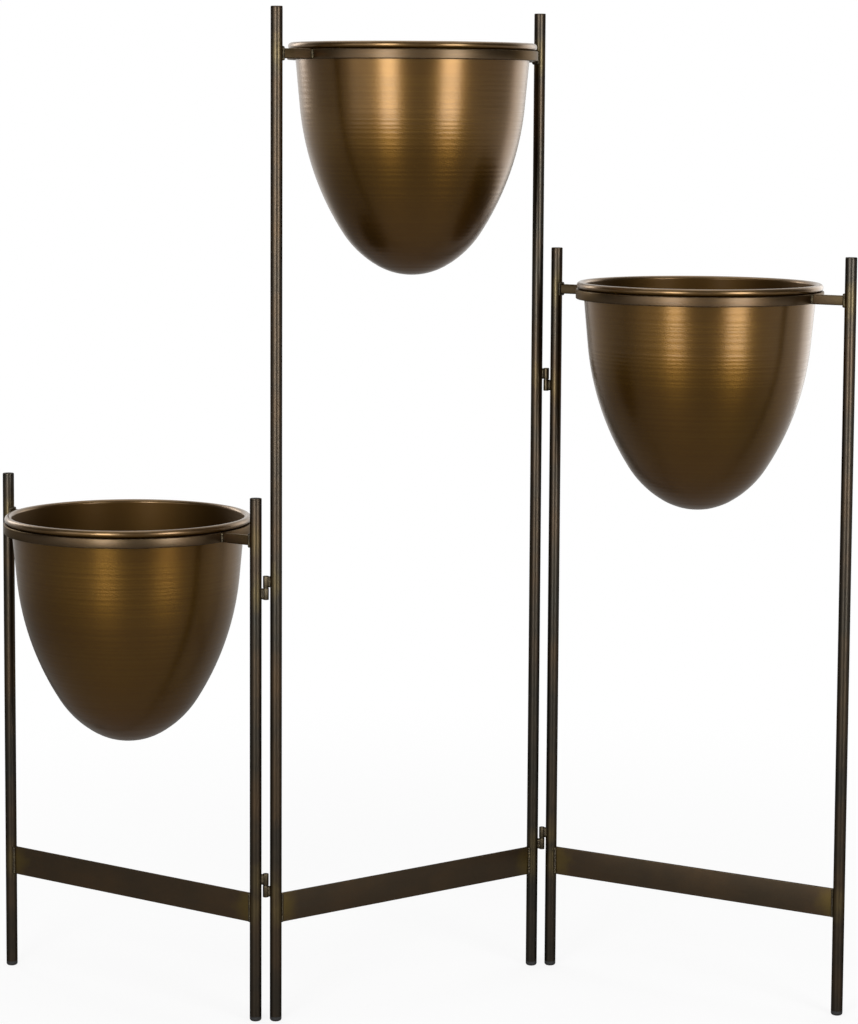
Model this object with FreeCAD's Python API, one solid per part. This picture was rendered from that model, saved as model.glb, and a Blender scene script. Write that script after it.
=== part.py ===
import FreeCAD, Part
import math
import os

# Standing planter: three hinged stand panels in a zigzag, each with a spun pot hung in a ring
# Millimetres, +Z up, +X right and +Y back, origin on the floor under the middle of the outline

# Panels: height of each, and its angle to X in plan as the planter stands
left_height = 538.0
middle_height = 1029.0
right_height = 782.0
left_angle = 37.2
middle_angle = 36.5
right_angle = 33.2

# Posts: round tube, closed by a pressed cap and standing on a glide
post_spacing = 340.0
post_diameter = 12.0
post_wall = 1.2
cap_height = 1.6
cap_edge_radius = 0.8
foot_height = 5.0
foot_edge_radius = 2.5
plug_length = 12.0
plug_clearance = 0.05

# Stretcher: one flat bar between the feet of each panel
stretcher_bottom = 102.0
stretcher_height = 30.0
stretcher_thickness = 3.0

# Ring and its two arms: flat bar on edge, each ring's top below its post tops
left_ring_drop = 38.2
middle_ring_drop = 41.5
right_ring_drop = 38.8
bar_height = 10.0
bar_thickness = 6.0
ring_clearance = 1.3
seat_gap = 0.2

# Pot: spun sheet with three tangent arcs, a straight neck and an outward curl, depth from the curl's centre
pot_sheet = 1.0
pot_depth = 233.5
pot_base_radius = 70.8
pot_base_turn = 30.0
pot_haunch_radius = 105.2
pot_haunch_turn = 57.5
pot_side_radius = 288.0
pot_side_turn = 84.7
curl_radius = 3.7
curl_turn = 285.0

# Hinges: pinned barrels between the posts, set so that the posts lie side by side when folded
barrel_diameter = 6.0
barrel_clearance = 1.25
fold_gap = 0.3
knuckle_length = 12.0
knuckle_gap = 0.3
knuckle_end_wall = 1.5
pin_diameter = 3.0
pin_fit = 0.01
pin_running_clearance = 0.05
pin_end_clearance = 0.3
lower_hinge_height = 141.0
left_upper_hinge_drop = 91.0
right_upper_hinge_drop = 141.0

# Weld beads: radius, and how far their centre line stands off the two faces that they join
bead_radius = 1.6
bead_standoff = 0.6
hinge_bead_radius = 2.6

# Sizes that follow
post_radius = post_diameter / 2
post_bore_radius = post_radius - post_wall
plug_radius = post_bore_radius - plug_clearance
barrel_radius = barrel_diameter / 2
pin_radius = pin_diameter / 2
barrel_reach = post_radius + barrel_radius + barrel_clearance
barrel_set = math.asin((post_radius + fold_gap / 2) / barrel_reach)
barrel_along = barrel_reach * math.cos(barrel_set)
barrel_aside = barrel_reach * math.sin(barrel_set)
half_spacing = post_spacing / 2
same_height = 1e-6
up = FreeCAD.Vector(0, 0, 1)


def cylinder(radius, x, y, bottom, top):
    """Upright cylinder at a plan position."""
    return Part.makeCylinder(radius, top - bottom, FreeCAD.Vector(x, y, bottom))


def box(x0, x1, y0, y1, z0, z1):
    """Upright box between two corners."""
    return Part.makeBox(x1 - x0, y1 - y0, z1 - z0, FreeCAD.Vector(x0, y0, z0))


def bead(start, end, radius=bead_radius):
    """Weld bead: a round bar with domed ends."""
    run = end - start
    bar = Part.makeCylinder(radius, run.Length, start, run)
    return bar.fuse([Part.makeSphere(radius, start), Part.makeSphere(radius, end)])


def round_edge(shape, radius, height):
    """Round the outer edge of a turned shape at a height."""
    level = [edge for edge in shape.Edges if abs(edge.CenterOfMass.z - height) < same_height]
    return shape.makeFillet(radius, level)


def post_tube(x, height):
    """Tube between the glide and the cap."""
    outer = cylinder(post_radius, x, 0, foot_height, height - cap_height)
    return outer.cut(cylinder(post_bore_radius, x, 0, foot_height, height - cap_height))


def post_cap(x, height):
    """Cap with a rounded edge, on a plug that is pressed into the tube."""
    head = cylinder(post_radius, x, 0, height - cap_height, height)
    plug = cylinder(plug_radius, x, 0, height - cap_height - plug_length, height - cap_height)
    return round_edge(head, cap_edge_radius, height).fuse(plug)


def post_foot(x):
    """Glide with a rounded edge and a flat sole, on a plug that is pressed into the tube."""
    sole = cylinder(post_radius, x, 0, 0, foot_height)
    plug = cylinder(plug_radius, x, 0, foot_height, foot_height + plug_length)
    return round_edge(sole, foot_edge_radius, 0).fuse(plug)


def stretcher_bar():
    """Flat bar whose ends are coped to the two posts."""
    half = stretcher_thickness / 2
    top = stretcher_bottom + stretcher_height
    bar = box(-half_spacing, half_spacing, -half, half, stretcher_bottom, top)
    for x in (-half_spacing, half_spacing):
        bar = bar.cut(cylinder(post_radius, x, 0, stretcher_bottom, top))
    return bar


def pot_profile():
    """Closed outline of the pot's sheet in the XZ plane, bottom at zero, with the curl's centre."""
    angles = [0.0, pot_base_turn, pot_haunch_turn, pot_side_turn]
    radii = [pot_base_radius, pot_haunch_radius, pot_side_radius]

    def normal(turn):
        return FreeCAD.Vector(math.sin(math.radians(turn)), 0, -math.cos(math.radians(turn)))

    outer = []
    inner = []
    point = FreeCAD.Vector(0, 0, 0)
    for radius, start, end in zip(radii, angles, angles[1:]):
        centre = point - normal(start) * radius
        middle = (start + end) / 2
        for edges, reach in ((outer, radius), (inner, radius - pot_sheet)):
            points = [centre + normal(turn) * reach for turn in (start, middle, end)]
            edges.append(Part.Arc(*points).toShape())
        point = centre + normal(end) * radius
    out = normal(pot_side_turn)
    rise = FreeCAD.Vector(-out.z, 0, out.x)
    curl_bore = curl_radius - pot_sheet
    neck = rise * ((pot_depth - curl_bore * out.z - point.z) / rise.z)
    curl_centre = point + neck + out * curl_bore
    outer.append(Part.makeLine(point, point + neck))
    inner.append(Part.makeLine(point - out * pot_sheet, point - out * pot_sheet + neck))

    def curl_arc(radius):
        points = []
        for share in (0.0, 0.5, 1.0):
            turn = math.radians(curl_turn * share)
            points.append(curl_centre + (rise * math.sin(turn) - out * math.cos(turn)) * radius)
        return Part.Arc(*points).toShape()

    outer.append(curl_arc(curl_bore))
    inner.append(curl_arc(curl_radius))
    ends = [
        Part.makeLine(outer[-1].Vertexes[-1].Point, inner[-1].Vertexes[-1].Point),
        Part.makeLine(FreeCAD.Vector(0, 0, 0), FreeCAD.Vector(0, 0, pot_sheet)),
    ]
    wire = Part.Wire(Part.__sortEdges__(outer + inner + ends))
    return wire, curl_centre, (point + neck).x


pot_wire, curl_centre, neck_radius = pot_profile()
ring_inner_radius = neck_radius + ring_clearance
ring_outer_radius = ring_inner_radius + bar_thickness


def pot_shell(ring_top):
    """Pot with its curl seated on the ring."""
    pot = Part.Face(pot_wire).revolve(FreeCAD.Vector(0, 0, 0), up, 360)
    curl_height = ring_top + seat_gap + curl_radius
    return pot.translated(up * (curl_height - curl_centre.z))


def ring_bar(top):
    """Ring that carries the pot's curl on its top edge."""
    outer = cylinder(ring_outer_radius, 0, 0, top - bar_height, top)
    return outer.cut(cylinder(ring_inner_radius, 0, 0, top - bar_height, top))


def ring_arm(side, top):
    """Arm from the ring to a post, coped to both."""
    half = bar_thickness / 2
    ends = sorted((side * ring_inner_radius, side * half_spacing))
    arm = box(ends[0], ends[1], -half, half, top - bar_height, top)
    arm = arm.cut(cylinder(ring_outer_radius, 0, 0, top - bar_height, top))
    return arm.cut(cylinder(post_radius, side * half_spacing, 0, top - bar_height, top))


def upright_beads(centre_x, face_radius, side, half_thickness, bottom, top):
    """Two upright beads where a bar's flat faces meet a round face about the given centre."""
    across = half_thickness + bead_standoff
    along = math.sqrt((face_radius + bead_standoff) ** 2 - across**2)
    beads = []
    for y in (-across, across):
        start = FreeCAD.Vector(centre_x + side * along, y, bottom)
        beads.append(bead(start, FreeCAD.Vector(start.x, y, top)))
    return beads


def stretcher_welds(bar):
    """Beads down both faces of the stretcher at each post."""
    bottom = stretcher_bottom + bead_radius
    top = stretcher_bottom + stretcher_height - bead_radius
    welds = []
    for x in (-half_spacing, half_spacing):
        side = -1 if x > 0 else 1
        post = cylinder(post_radius, x, 0, stretcher_bottom, stretcher_bottom + stretcher_height)
        for weld in upright_beads(x, post_radius, side, stretcher_thickness / 2, bottom, top):
            welds.append(weld.cut([post, bar]))
    return welds


def arm_welds(side, top, arm):
    """Bead round the arm at the post, and two beads where it meets the ring."""
    bottom = top - bar_height
    half = bar_thickness / 2
    post_x = side * half_spacing
    post = cylinder(post_radius, post_x, 0, bottom - bar_height, top + bar_height)
    collar = upright_beads(post_x, post_radius, -side, half, bottom, top)
    flat_x = post_x - side * (post_radius + bead_standoff)
    for z in (bottom - bead_standoff, top + bead_standoff):
        collar.append(bead(FreeCAD.Vector(flat_x, -half, z), FreeCAD.Vector(flat_x, half, z)))
    welds = [collar[0].fuse(collar[1:]).cut([post, arm])]
    ring = cylinder(ring_outer_radius, 0, 0, bottom, top)
    for weld in upright_beads(0, ring_outer_radius, side, half, bottom + bead_radius, top - bead_radius):
        welds.append(weld.cut([ring, arm]))
    return welds


def hinge_weld(axis, post, bottom, top):
    """Bead that fills the gap between a knuckle and the post that carries it."""
    toward = (post - axis).normalize()
    middle = axis + toward * (barrel_radius + barrel_clearance / 2)
    low = middle + up * (bottom + hinge_bead_radius)
    high = middle + up * (top - hinge_bead_radius)
    solids = [
        cylinder(post_radius, post.x, post.y, bottom, top),
        cylinder(barrel_radius, axis.x, axis.y, bottom, top),
    ]
    return bead(low, high, hinge_bead_radius).cut(solids)


def knuckle(axis, bottom, top, mouth_up, clearance):
    """Barrel half with a blind bore that opens at its top or its bottom."""
    bore_bottom = bottom + knuckle_end_wall if mouth_up else bottom
    bore_top = top if mouth_up else top - knuckle_end_wall
    barrel = cylinder(barrel_radius, axis.x, axis.y, bottom, top)
    return barrel.cut(cylinder(pin_radius + clearance, axis.x, axis.y, bore_bottom, bore_top))


def export(node, shape):
    """Write one node."""
    shape.exportStep(f"parts/{node}.step")


# Plan: the middle panel sets both hinge axes, and each side panel hangs on one of them
heights = {"left": left_height, "middle": middle_height, "right": right_height}
ring_drops = {"left": left_ring_drop, "middle": middle_ring_drop, "right": right_ring_drop}
turns = {
    "left": FreeCAD.Rotation(up, -left_angle),
    "middle": FreeCAD.Rotation(up, middle_angle),
    "right": FreeCAD.Rotation(up, -right_angle),
}
barrel_x = half_spacing + barrel_along
axes = {
    "left": turns["middle"].multVec(FreeCAD.Vector(-barrel_x, barrel_aside, 0)),
    "right": turns["middle"].multVec(FreeCAD.Vector(barrel_x, -barrel_aside, 0)),
}
centres = {
    "left": axes["left"] - turns["left"].multVec(FreeCAD.Vector(barrel_x, barrel_aside, 0)),
    "middle": FreeCAD.Vector(0, 0, 0),
    "right": axes["right"] - turns["right"].multVec(FreeCAD.Vector(-barrel_x, -barrel_aside, 0)),
}


def post_point(panel, side):
    """Plan position of a panel's post."""
    return centres[panel] + turns[panel].multVec(FreeCAD.Vector(side * half_spacing, 0, 0))


# Outline: discs of the posts and rings, whose middle becomes the origin
discs = [(centre, ring_outer_radius) for centre in centres.values()]
discs += [(post_point(panel, side), post_radius) for panel in centres for side in (-1, 1)]
middle_x = (min(point.x - r for point, r in discs) + max(point.x + r for point, r in discs)) / 2
middle_y = (min(point.y - r for point, r in discs) + max(point.y + r for point, r in discs)) / 2
shift = FreeCAD.Vector(-middle_x, -middle_y, 0)
axes = {name: axis + shift for name, axis in axes.items()}
centres = {name: centre + shift for name, centre in centres.items()}

os.makedirs("parts", exist_ok=True)

# Panels
post_names = {
    "left": {-1: "outer", 1: "inner"},
    "middle": {-1: "left", 1: "right"},
    "right": {-1: "inner", 1: "outer"},
}
for panel, height in heights.items():
    place = FreeCAD.Placement(centres[panel], turns[panel])
    ring_top = height - ring_drops[panel]
    stretcher = stretcher_bar()
    pieces = {"stretcher": stretcher, "ring": ring_bar(ring_top), "pot": pot_shell(ring_top)}
    welds = stretcher_welds(stretcher)
    for side, name in post_names[panel].items():
        arm = ring_arm(side, ring_top)
        pieces[f"{name}_post"] = post_tube(side * half_spacing, height)
        pieces[f"{name}_post_cap"] = post_cap(side * half_spacing, height)
        pieces[f"{name}_post_foot"] = post_foot(side * half_spacing)
        pieces[f"{name}_ring_arm"] = arm
        welds += arm_welds(side, ring_top, arm)
    pieces["frame_welds"] = Part.makeCompound(welds)
    for name, shape in pieces.items():
        export(f"{panel}_{name}", shape.transformed(place.toMatrix()))

# Hinges: the middle panel has the top knuckle of each upper pair and the bottom knuckle of each lower pair
knuckle_half = knuckle_gap / 2
pin_below = knuckle_half + knuckle_length - knuckle_end_wall
pin_above = pin_below - pin_end_clearance
hinge_heights = {
    "left": {"upper": left_height - left_upper_hinge_drop, "lower": lower_hinge_height},
    "right": {"upper": right_height - right_upper_hinge_drop, "lower": lower_hinge_height},
}
hinge_beads = {panel: [] for panel in heights}
for hand, levels in hinge_heights.items():
    axis = axes[hand]
    hinge_posts = {
        hand: post_point(hand, 1 if hand == "left" else -1),
        "middle": post_point("middle", -1 if hand == "left" else 1),
    }
    for level, height in levels.items():
        top_owner, bottom_owner = ("middle", hand) if level == "upper" else (hand, "middle")
        spans = {
            "top": (top_owner, height + knuckle_half, height + knuckle_half + knuckle_length),
            "bottom": (bottom_owner, height - knuckle_half - knuckle_length, height - knuckle_half),
        }
        for half, (owner, bottom, top) in spans.items():
            clearance = pin_fit if half == "bottom" else pin_running_clearance
            node = f"{hand}_{level}_hinge_{half}_knuckle"
            export(node, knuckle(axis, bottom, top, half == "bottom", clearance))
            hinge_beads[owner].append(hinge_weld(axis, hinge_posts[owner], bottom, top))
        pin = cylinder(pin_radius, axis.x, axis.y, height - pin_below, height + pin_above)
        export(f"{hand}_{level}_hinge_pin", pin)
for panel, welds in hinge_beads.items():
    export(f"{panel}_hinge_welds", Part.makeCompound(welds))
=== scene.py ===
"""Dresses the folding standing planter: spun pots in rolled rings on three hinged stand panels."""
import logging
import math
from dataclasses import dataclass
from enum import Enum

import bmesh
import bpy
from mathutils import Matrix, Vector


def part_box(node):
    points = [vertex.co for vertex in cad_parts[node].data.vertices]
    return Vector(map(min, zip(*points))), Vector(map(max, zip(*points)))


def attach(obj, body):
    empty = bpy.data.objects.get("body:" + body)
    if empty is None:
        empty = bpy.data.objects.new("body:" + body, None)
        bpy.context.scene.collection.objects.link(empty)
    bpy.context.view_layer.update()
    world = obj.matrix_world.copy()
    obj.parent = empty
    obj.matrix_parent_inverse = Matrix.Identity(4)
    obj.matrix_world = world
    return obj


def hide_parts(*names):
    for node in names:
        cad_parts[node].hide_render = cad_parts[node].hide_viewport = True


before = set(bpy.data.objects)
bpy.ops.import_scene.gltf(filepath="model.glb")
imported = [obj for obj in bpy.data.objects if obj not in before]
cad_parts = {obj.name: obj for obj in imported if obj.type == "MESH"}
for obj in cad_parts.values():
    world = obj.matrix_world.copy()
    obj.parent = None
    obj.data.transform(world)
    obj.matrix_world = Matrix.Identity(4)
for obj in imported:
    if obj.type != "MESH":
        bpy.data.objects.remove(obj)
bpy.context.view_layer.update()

log = logging.getLogger("planter")

Colour = tuple[float, float, float]
Triple = tuple[float, float, float]
Socket = bpy.types.NodeSocket
Tree = bpy.types.NodeTree
Material = bpy.types.Material
Mesh = bpy.types.Mesh
Piece = bpy.types.Object

SHARP = math.radians(40.0)
UP = Vector((0.0, 0.0, 1.0))
HALVES = ("top", "bottom")


class Panel(Enum):
    """The three stand panels, from left to right."""

    LEFT = "left"
    MIDDLE = "middle"
    RIGHT = "right"

    @property
    def body(self) -> str:
        """Body that the panel's pieces ride on."""
        return f"{self.value}_panel"

    @property
    def posts(self) -> tuple[str, str]:
        """Names of the panel's two posts, from left to right."""
        if self is Panel.LEFT:
            return "left_outer", "left_inner"
        if self is Panel.MIDDLE:
            return "middle_left", "middle_right"
        return "right_inner", "right_outer"


class Slot(Enum):
    """Names of the material slots, passed along with each new piece."""

    FRAME = "frame_metal"
    POT = "pot_metal"
    WELD = "weld_metal"
    GLIDE = "glide_plastic"


class Lay(Enum):
    """Direction in which a piece's working marks run, as the stretch of its pattern."""

    UP = (1.0, 1.0, 0.012)
    ALONG = (0.012, 1.0, 1.0)
    ROUND = (0.03, 0.03, 1.0)


class Level(Enum):
    """The two hinges at each joint."""

    UPPER = "upper"
    LOWER = "lower"


class Web:
    """Adds and joins nodes in one node tree."""

    def __init__(self, tree: Tree) -> None:
        """Start on the node tree to fill."""
        self.tree = tree

    def add(self, kind: str, inputs: dict | None = None, **settings: object) -> bpy.types.Node:
        """Add a node.

        Args:
            kind: Blender's name of the node type.
            inputs: Socket name or number to a value, or to a socket that feeds it.
            settings: Properties of the node.

        Returns:
            The new node.
        """
        node = self.tree.nodes.new(kind)
        for key, value in settings.items():
            setattr(node, key, value)
        for key, value in (inputs or {}).items():
            self.feed(node.inputs[key], value)
        return node

    def get(self, kind: str, inputs: dict | None = None, output: int | str = 0, **settings: object) -> Socket:
        """Add a node, as add does, and take one of its outputs by name or number."""
        return self.add(kind, inputs, **settings).outputs[output]

    def feed(self, target: Socket, value: object) -> None:
        """Join a socket to another, or set its own value.

        Args:
            target: Input socket.
            value: Output socket, number, vector or colour.
        """
        if isinstance(value, Socket):
            self.tree.links.new(value, target)
        elif target.type == "RGBA":
            target.default_value = (*value, 1.0)
        else:
            target.default_value = value

    def paint(self, **values: object) -> None:
        """Feed the tree's Principled shader.

        Args:
            values: Names of its inputs, with underscores for spaces, and what feeds them.
        """
        shader = self.tree.nodes["Principled BSDF"]
        for key, value in values.items():
            self.feed(shader.inputs[key.replace("_", " ").title()], value)

    def calc(self, operation: str, first: object, second: object = 0.0, third: object = 0.0) -> Socket:
        """Add a Math node; few operations read the third operand."""
        return self.get("ShaderNodeMath", {0: first, 1: second, 2: third}, operation=operation)

    def times(self, first: object, second: object, more: object = 0.0) -> Socket:
        """Multiply two values and add a third."""
        return self.calc("MULTIPLY_ADD", first, second, more)

    def spread(
        self, value: object, low: object, high: object, to_low: float = 0.0, to_high: float = 1.0
    ) -> Socket:
        """Map a value from one range to another, with smooth ends."""
        inputs = {"Value": value, "From Min": low, "From Max": high, "To Min": to_low, "To Max": to_high}
        return self.get("ShaderNodeMapRange", inputs, "Result", interpolation_type="SMOOTHSTEP")

    def blend(self, share: object, first: object, second: object) -> Socket:
        """Mix two colours by the share of the second."""
        return self.get("ShaderNodeMix", {0: share, 6: first, 7: second}, 2, data_type="RGBA")

    def noise(self, place: object, scale: object, detail: float, roughness: float = 0.5) -> Socket:
        """Add a noise texture with so many lumps to the metre."""
        inputs = {"Vector": place, "Scale": scale, "Detail": detail, "Roughness": roughness}
        return self.get("ShaderNodeTexNoise", inputs)

    def bump(self, height: object, strength: float, distance: float) -> Socket:
        """Add a bump; its height runs from 0 to 1, and distance is a full step in metres."""
        return self.get("ShaderNodeBump", {"Height": height, "Strength": strength, "Distance": distance})


def open_tree(
    name: str, kind: str, inputs: dict[str, str], outputs: dict[str, str]
) -> tuple[Web, bpy.types.NodeOutputs, bpy.types.NodeInputs]:
    """Start a node group with its sockets.

    Args:
        name: Name of the group.
        kind: Blender's name of the tree type.
        inputs: Input names and what they carry, such as Float or Vector.
        outputs: Output names and what they carry.

    Returns:
        A web on the group, its input sockets and its output sockets.
    """
    tree = bpy.data.node_groups.new(name, kind)
    for side, sockets in (("INPUT", inputs), ("OUTPUT", outputs)):
        for key, carried in sockets.items():
            tree.interface.new_socket(key, in_out=side, socket_type=f"NodeSocket{carried}")
    web = Web(tree)
    return web, web.add("NodeGroupInput").outputs, web.add("NodeGroupOutput").inputs


class Effects:
    """Shader node groups that several finishes share, each built once."""

    def __init__(self) -> None:
        """Build every group."""
        mask = {"Mask": "Float"}
        kinds = {"Place": "Vector", "Scale": "Float", "Low": "Float", "High": "Float"}
        web, given, made = open_tree("patina mottle", "ShaderNodeTree", kinds, mask)
        noise = web.noise(given["Place"], given["Scale"], 5.0, 0.62)
        web.feed(made["Mask"], web.spread(noise, given["Low"], given["High"]))
        self.mottle_group = web.tree

        kinds = {"Place": "Vector", "Fine Scale": "Float", "Coarse Scale": "Float"}
        both = {"Fine": "Float", "Coarse": "Float"}
        web, given, made = open_tree("working marks", "ShaderNodeTree", kinds, both)
        fine = web.noise(given["Place"], given["Fine Scale"], 2.0, 0.6)
        coarse = web.noise(given["Place"], given["Coarse Scale"], 3.0, 0.55)
        web.feed(made["Fine"], web.spread(fine, 0.3, 0.7))
        web.feed(made["Coarse"], web.spread(coarse, 0.35, 0.65))
        self.marks_group = web.tree

        kinds = {"Place": "Vector", "Weld": "Vector", "Reach": "Float"}
        web, given, made = open_tree("heat bloom", "ShaderNodeTree", kinds, mask)
        ends = {0: given["Place"], 1: given["Weld"]}
        gap = web.get("ShaderNodeVectorMath", ends, "Value", operation="DISTANCE")
        noise = web.noise(given["Place"], 95.0, 3.0)
        ragged = web.times(gap, web.calc("ADD", noise, 0.5))
        web.feed(made["Mask"], web.spread(web.calc("DIVIDE", ragged, given["Reach"]), 1.0, 0.15))
        self.bloom_group = web.tree

        kinds = {"Place": "Vector", "Edge": "Float", "Scale": "Float"}
        web, given, made = open_tree("edge rub", "ShaderNodeTree", kinds, mask)
        noise = web.noise(given["Place"], given["Scale"], 4.0, 0.7)
        web.feed(made["Mask"], web.times(web.spread(noise, 0.42, 0.62), given["Edge"]))
        self.rub_group = web.tree

    def mottle(self, web: Web, place: object, scale: float, low: float, high: float) -> Socket:
        """Place the group of cloudy patches, whose mask runs between two noise values."""
        inputs = {"Place": place, "Scale": scale, "Low": low, "High": high}
        return web.get("ShaderNodeGroup", inputs, node_tree=self.mottle_group)

    def marks(self, web: Web, place: object, fine: float, coarse: float) -> tuple[Socket, Socket]:
        """Place the group of lines that drawing, rolling or spinning leaves.

        Args:
            web: The material's web.
            place: Stretched coordinates to read.
            fine: Fine lines to the metre.
            coarse: Coarse lines to the metre.

        Returns:
            The sockets of the fine and the coarse lines.
        """
        inputs = {"Place": place, "Fine Scale": fine, "Coarse Scale": coarse}
        node = web.add("ShaderNodeGroup", inputs, node_tree=self.marks_group)
        return node.outputs["Fine"], node.outputs["Coarse"]

    def heat(self, web: Web, place: object, welds: tuple[Triple, ...], reach: float) -> Socket:
        """Place a heat bloom, which fades with the distance, at each weld and join them.

        Args:
            web: The material's web.
            place: Coordinates to read.
            welds: Where the welds are.
            reach: How far the tint goes.

        Returns:
            The joined mask's socket.
        """
        joined: Socket | float = 0.0
        for weld in welds:
            inputs = {"Place": place, "Weld": weld, "Reach": reach}
            mask = web.get("ShaderNodeGroup", inputs, node_tree=self.bloom_group)
            joined = web.calc("MAXIMUM", joined, mask)
        return joined

    def rub(self, web: Web, place: object, scale: float) -> Socket:
        """Place the group of broken wear on the mesh's edge marks.

        Args:
            web: The material's web.
            place: Coordinates to read.
            scale: Breaks to the metre.

        Returns:
            The mask's socket.
        """
        edge = web.get("ShaderNodeAttribute", output="Fac", attribute_name="edge")
        inputs = {"Place": place, "Edge": edge, "Scale": scale}
        return web.get("ShaderNodeGroup", inputs, node_tree=self.rub_group)


def new_material(name: str) -> tuple[Material, Web, Socket]:
    """Start a material with one Principled shader.

    Args:
        name: Name of the material.

    Returns:
        The material, a web on its tree and the socket of its Object coordinates.
    """
    material = bpy.data.materials.new(name)
    material.use_nodes = True
    web = Web(material.node_tree)
    return material, web, web.get("ShaderNodeTexCoord", output="Object")


@dataclass(frozen=True)
class FrameBronze:
    """Dark lacquered bronze of the posts, bars and rings, with heat tint near the welds.

    Attributes:
        name: Name of the material.
        lay: Direction of the working marks.
        welds: Where the welds are.
        turn: Turn of the piece about the upright axis, in radians.
        centre: Middle of the piece, for marks that run round it.
        shade: Colour of the dark patches.
        warm: Colour of the warm patches.
        streak: Colour of the working marks.
        pit: Colour of the grain.
        tint: Colour of the heat tint.
        worn: Colour of rubbed edges.
        glance: Reflection at a grazing angle.
        reach: How far the heat tint goes from a weld.
        heat: Share of the heat tint.
        coat: Weight of the lacquer.
    """

    name: str
    lay: Lay
    welds: tuple[Triple, ...]
    turn: float = 0.0
    centre: Triple = (0.0, 0.0, 0.0)
    shade: Colour = (0.036, 0.034, 0.028)
    warm: Colour = (0.080, 0.051, 0.028)
    streak: Colour = (0.090, 0.078, 0.060)
    pit: Colour = (0.034, 0.029, 0.021)
    tint: Colour = (0.165, 0.120, 0.042)
    worn: Colour = (0.24, 0.19, 0.12)
    glance: Colour = (0.14, 0.12, 0.09)
    reach: float = 0.026
    heat: float = 0.40
    coat: float = 0.12

    def build(self, effects: Effects) -> Material:
        """Make the material.

        Args:
            effects: The shared node groups.

        Returns:
            The material.
        """
        material, web, place = new_material(self.name)
        turned = {"Vector": place, "Location": self.centre, "Rotation": (0.0, 0.0, self.turn)}
        centred = web.get("ShaderNodeMapping", turned, vector_type="TEXTURE")
        drawn = web.get("ShaderNodeMapping", {"Vector": centred, "Scale": self.lay.value})
        fine, coarse = effects.marks(web, drawn, 2600.0, 620.0)
        cloud = effects.mottle(web, place, 11.0, 0.28, 0.76)
        grain = effects.mottle(web, place, 900.0, 0.36, 0.64)
        heat = effects.heat(web, place, self.welds, self.reach)
        rub = effects.rub(web, place, 260.0)
        colour = web.blend(cloud, self.shade, self.warm)
        layers = ((coarse, 0.12, self.streak), (grain, 0.10, self.pit), (heat, self.heat, self.tint))
        for mask, share, layer in (*layers, (rub, 0.45, self.worn)):
            colour = web.blend(web.times(mask, share), colour, layer)
        rough = web.times(fine, 0.06, web.times(cloud, 0.05, 0.32))
        height = web.times(fine, 0.4, web.times(coarse, 0.4, web.times(grain, 0.2)))
        web.paint(base_color=colour, roughness=rough, normal=web.bump(height, 0.25, 0.00004), metallic=1.0)
        web.paint(specular_tint=self.glance, coat_weight=self.coat, coat_roughness=0.24)
        return material


STRETCHER_LOOK = {
    "shade": (0.094, 0.068, 0.043),
    "warm": (0.128, 0.080, 0.042),
    "tint": (0.215, 0.150, 0.040),
    "heat": 0.62,
}
RING_LOOK = {
    "shade": (0.082, 0.053, 0.026),
    "warm": (0.098, 0.058, 0.027),
    "tint": (0.105, 0.075, 0.030),
    "glance": (0.50, 0.45, 0.39),
    "coat": 0.18,
}
KNUCKLE_LOOK = {
    "shade": (0.052, 0.044, 0.033),
    "warm": (0.070, 0.050, 0.032),
    "tint": (0.120, 0.092, 0.045),
}


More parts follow.
